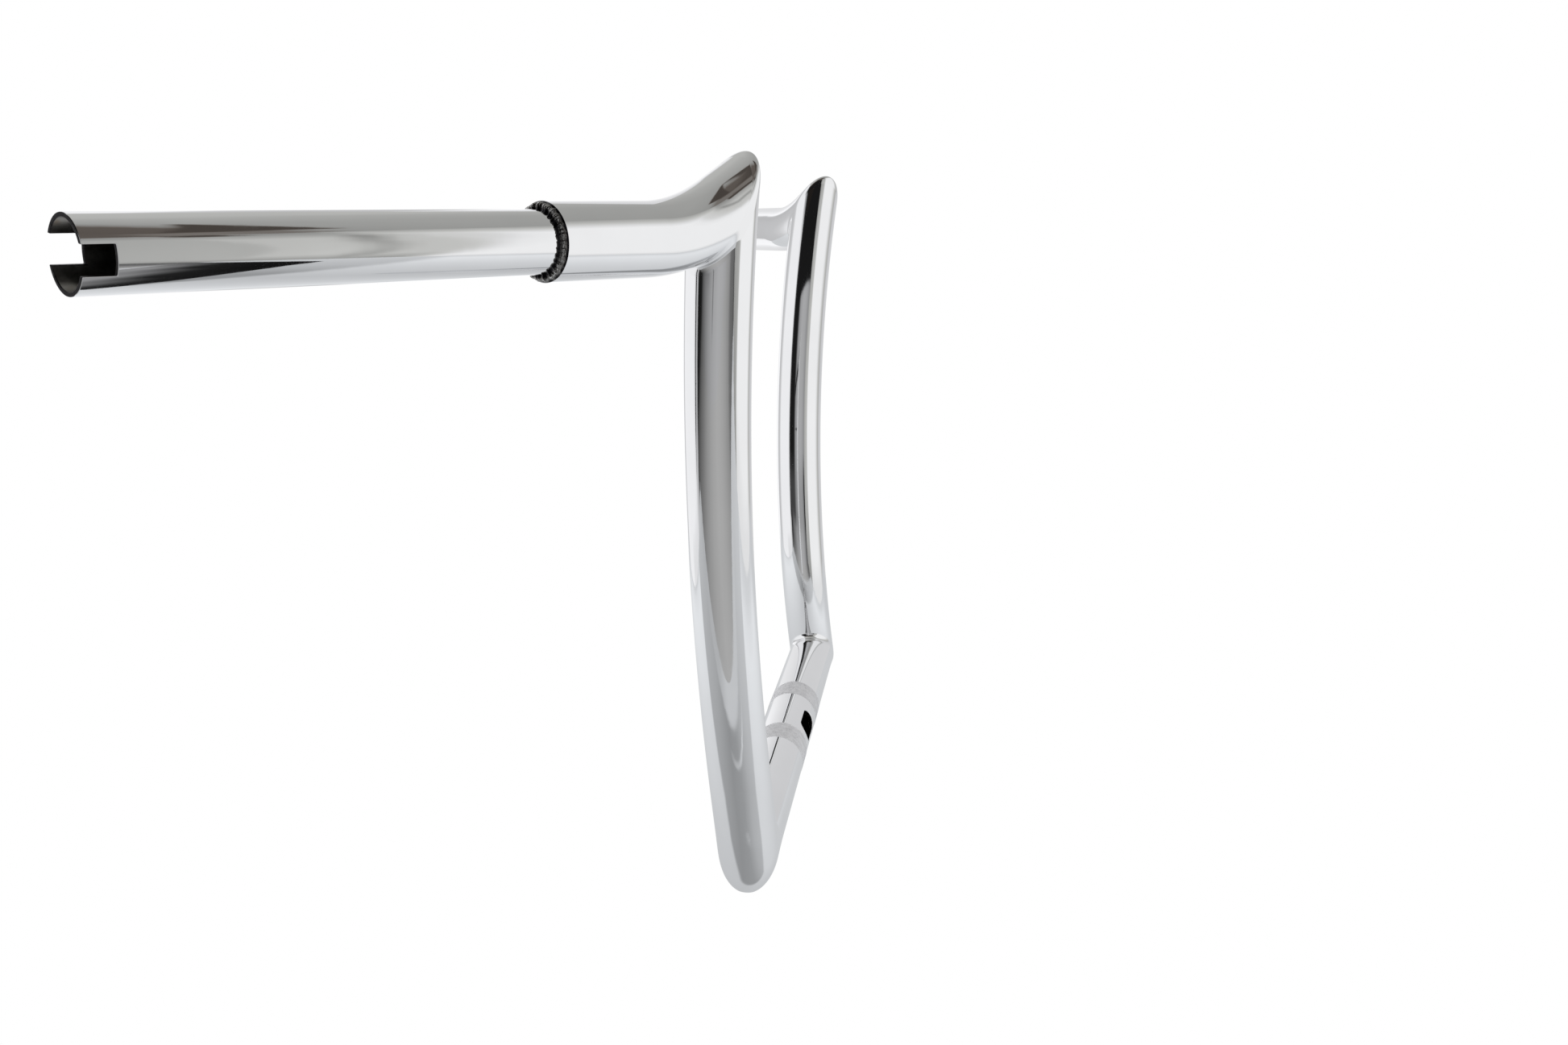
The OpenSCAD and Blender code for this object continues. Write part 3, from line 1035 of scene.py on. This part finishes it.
def panel(name, corner, u, v, counts, level, tint=PLAIN):
    """A glowing sheet that only reflections see. level gives its display level for x, y and z."""
    corner, u, v = (np.array(a, float) for a in (corner, u, v))
    a, b = np.meshgrid(np.linspace(0, 1, counts[0]), np.linspace(0, 1, counts[1]), indexing="ij")
    points = corner + a[..., None] * u + b[..., None] * v
    shade = level(points[..., 0], points[..., 1], points[..., 2]).reshape(-1, 1)
    index = np.arange(a.size).reshape(a.shape)
    faces = np.stack([index[:-1, :-1], index[1:, :-1], index[1:, 1:], index[:-1, 1:]], axis=2).reshape(-1, 4)
    light = linear(shade) / REFLECTIVITY * np.array(tint(shade) if callable(tint) else tint)
    sheet_of_light(name, points.reshape(-1, 3), faces.tolist(), light, ("camera", "shadow"))


def stops(value, *pairs):
    """Straight lines between (value, level) pairs."""
    return np.interp(value, [p[0] for p in pairs], [p[1] for p in pairs])


def left_wall(x, y, z):
    """The bright cloth on the +Y side, in painted shade towards both ends, the top and the bottom, with a fold
    in it whose shade is painted, and a darker stretch beyond the tent's open front.
    """
    lamp_edge = stops(z, (180, 328), (300, 316), (411, 296), (622, 241), (900, 180))
    level = stops(
        x, (-600, 166), (-540, 176), (-480, 187), (-420, 201), (-360, 222), (-300, 233), (-240, 237)
    )
    past = stops(x - lamp_edge, (-60, 237), (-25, 231), (10, 209), (60, 200), (110, 190), (400, 175))
    fold_x = stops(z, (60, 380), (300, 380), (520, 372), (690, 338), (900, 300))
    # Painted shade: a dark line along the fold, and a darker stretch past the floor's front edge, outside the
    # tent
    fold_shade = stops(z, (60, 44), (300, 32), (520, 36), (690, 52), (800, 20))
    outside_shade = stops(x, (462, 0), (474, -15), (600, -12), (700, -30))
    level = np.minimum(level, past) + (outside_shade - fold_shade * np.exp(-(((x - fold_x) / 20) ** 2)))
    level = np.minimum(level, stops(z, (600, 240), (675, 221), (735, 202), (795, 185), (900, 160)))
    front = stops(z, (-45, 148), (30, 172), (120, 192), (620, 192), (720, 168), (900, 136))
    level = capped(level, front, smooth(280, 330, x))
    level = mix(level, 64.0, smooth(800, 830, z) * smooth(385, 405, x) * (1 - smooth(440, 465, x)))
    return capped(level, 224, (1 - smooth(-30, 10, z)) * (x < 280))


def right_wall(x, y, z):
    """The bright cloth on the -Y side, dimmer towards both ends and the top, in painted shade."""
    level = stops(
        x, (-600, 188), (-420, 194), (-360, 204), (-320, 220), (-285, 234), (-262, 237), (240, 237), (300, 231)
    )
    front = stops(x, (240, 238), (300, 231), (330, 214), (360, 196), (400, 174), (430, 150))
    level = np.minimum(level, front)
    top = stops(z, (560, 237), (660, 208), (730, 160), (900, 140))
    level = capped(level, top, smooth(150, 280, x))
    return capped(level, 222, (1 - smooth(-25, 5, z)) * smooth(0, 60, x))


def back_wall(x, y, z):
    """The cloth across the far end."""
    level = stops(
        y, (-520, 236), (-450, 246), (-300, 248), (-200, 226), (0, 206), (300, 202), (450, 196), (560, 180)
    )
    level = capped(level, 212, smooth(500, 900, z))
    return capped(level, 186, smooth(200, 450, z) * (1 - smooth(-400, -330, y)))


def tent_floor(x, y, z):
    """White cloth, brightest under the lamps and dimmer towards the open front, with a painted shadow deepest
    near the middle of the front.
    """
    lit = [(-520, 197), (-500, 222), (-440, 228), (-340, 222), (-220, 211), (-100, 197), (-20, 190)]
    lit += [(80, 198), (200, 208), (320, 219), (430, 227), (480, 222), (520, 212), (560, 205)]
    deep = np.where(y > 0, 199.0, 206.0)
    rows = mix(stops(y, *lit), deep, 1 - smooth(-480, -200, x))
    # Painted shadow along the front of the floor, deepest near y = 0
    dull = [(-520, 186), (-340, 176), (-180, 164), (-40, 144), (60, 150), (160, 172), (260, 184), (440, 194)]
    level = mix(rows, stops(y, *dull, (560, 200)), smooth(258, 284, x))
    # A thin brighter line across the floor near its front edge
    bright_line = (np.abs(x - 398) < 4) * smooth(-60, 40, y) * (1 - smooth(150, 260, y))
    level = level + 34 * bright_line
    lip = mix(176, 194, smooth(-140, 0, y))
    return mix(level, lip, smooth(424, 438, x))


def ceiling(x, y, z):
    """Grey cloth, darker towards the open front, where it has a hole."""
    level = stops(y, (-520, 182), (-200, 178), (-100, 168), (0, 163), (100, 158), (560, 153))
    share = stops(
        x, (-600, 1.0), (60, 1.0), (180, 0.98), (250, 0.95), (286, 0.80), (312, 0.54), (420, 0.53), (700, 0.6)
    )
    share = mix(share, np.maximum(share, 0.70), smooth(395, 430, y) * (1 - smooth(425, 450, x)))
    level = mix(level * share, 28.0, smooth(400, 440, x) * (1 - smooth(200, 300, y)))
    slanted_edge = smooth(-14, 10, y - 2 * x + 386)
    hole = smooth(214, 232, x) * (1 - smooth(400, 430, x)) * slanted_edge
    hole = hole * smooth(60, 85, y) * (1 - smooth(370, 405, y))
    return capped(level, 64.0, hole)


def room_front(x, y, z):
    """A grey card in a dark room, beyond the tent's open front, with a cord hanging in front of it."""
    card = [(-330, 26), (-280, 48), (-220, 115), (-160, 147), (-100, 155), (60, 167), (300, 163), (440, 151)]
    level = mix(stops(y, *card, (560, 138)), 24.0, smooth(600, 612, z))
    low = [(-520, 62), (-300, 66), (-240, 108), (-160, 136), (0, 150), (300, 148), (430, 120), (490, 24)]
    level = mix(stops(y, *low, (560, 20)), level, smooth(110, 220, z))
    cord = np.exp(-(((y + 122) / 12) ** 2)) * smooth(-18, 4, z) * (1 - smooth(40, 80, z))
    return mix(outer_floor(x, y, z), level, smooth(0, 60, z)) - 50 * cord


def outer_floor(x, y, z):
    """The table in front of the tent."""
    rear = [(-740, 25), (-660, 38), (-590, 78), (-500, 99), (-420, 114), (-340, 129), (-260, 143)]
    front = [(-180, 152), (-100, 160), (40, 168), (140, 166), (220, 161), (300, 153), (385, 140)]
    return stops(y, *rear, *front, (440, 106), (520, 98), (560, 70))


def shade_card(x, y, z):
    """A dark card outside the tent's edge on the -Y side: painted shade, darkening outwards from the tent."""
    return stops(x, (300, 130), (322, 70), (350, 34), (430, 26), (700, 32))


def gap(x, y, z):
    """A dark gap low in front of the near control end."""
    return stops(x - 418 - (y + 100) * 0.08, (-30, 20), (-6, 34), (0, 90), (6, 140))


x0, x1 = TENT_X
y0, y1 = TENT_Y
z0, z1 = TENT_Z
up, across = (0, 0, z1 - z0), (0, y1 - y0, 0)
room_across, room_up = (0, y1 - ROOM_Y, 0), (0, 0, z1 - SHADE_CARD[2])
panel("tent_left", (x0, y1, z0), (ROOM_X - x0, 0, 0), up, (170, 60), left_wall, browned)
panel("tent_right", (x0, y0, z0), (x1 - x0, 0, 0), up, (120, 60), right_wall)
panel("tent_back", (x0, y0, z0), across, up, (80, 40), back_wall)
panel("tent_floor", (x0, y0, z0), (FLOOR_EDGE - x0, 0, 0), across, (270, 160), tent_floor, COOL)
panel("tent_ceiling", (x0, y0, z1), (ROOM_X - x0, 0, 0), across, (170, 90), ceiling, browned)
table = (ROOM_X - FLOOR_EDGE, 0, 0)
panel("room_floor", (FLOOR_EDGE, ROOM_Y, z0), table, room_across, (4, 360), outer_floor, WARM)
panel("room_front", (ROOM_X, ROOM_Y, z0), room_across, up, (220, 160), room_front)
panel("room_shade_card", SHADE_CARD, SHADE_CARD_SPAN, room_up, (60, 4), shade_card)
panel("room_gap", GAP, (GAP_WIDTH, 0, 0), (GAP_LEAN * GAP_LENGTH, -GAP_LENGTH, 0), (24, 4), gap)

# The white floor and backdrop that only the camera sees
FAR = 9000.0
NOT_CAMERA = ("diffuse", "glossy", "transmission", "shadow", "volume_scatter")
floor_corners = np.array([(-FAR, -FAR), (FAR, -FAR), (FAR, FAR), (-FAR, FAR)])


def corners_at(height):
    return np.column_stack([floor_corners, np.full(4, height)])


room = np.vstack([corners_at(-FAR), corners_at(FAR)])
sides = [(k, (k + 1) % 4, (k + 1) % 4 + 4, k + 4) for k in range(4)] + [(4, 5, 6, 7), (3, 2, 1, 0)]
sheet_of_light("floor", corners_at(cad_low[2] / MM - 1), [(0, 1, 2, 3)], WHITE, NOT_CAMERA)
sheet_of_light("backdrop", room, sides, WHITE, NOT_CAMERA)

world = bpy.data.worlds.new("dark_room")
world.use_nodes = True
world.node_tree.nodes["Background"].inputs["Color"].default_value = (0.012, 0.012, 0.012, 1)
bpy.context.scene.world = world

# -------- camera

IMAGE_WIDTH = 1946
FOCAL_PIXELS = 1744.15
SENSOR = 36.0
CAMERA = np.array([833.233, 101.808, 316.172])
CAMERA_TURN = (0.2132642, 0.1192399, -0.0002693)  # small turn from looking along -X, as axis times angle

turn = Matrix.Rotation(np.linalg.norm(CAMERA_TURN), 3, CAMERA_TURN)
looking_back = Matrix(((0, 1, 0), (0, 0, -1), (-1, 0, 0)))
right, down, ahead = turn @ looking_back
camera_data = bpy.data.cameras.new("camera")
camera_data.sensor_width = SENSOR
camera_data.lens = FOCAL_PIXELS * SENSOR / IMAGE_WIDTH
camera_data.clip_start = 0.01
camera = bpy.data.objects.new("camera", camera_data)
camera.matrix_world = Matrix.Translation(CAMERA * MM) @ Matrix((right, -down, -ahead)).transposed().to_4x4()
bpy.context.scene.collection.objects.link(camera)
bpy.context.scene.camera = camera
bpy.context.scene.view_settings.view_transform = "Standard"
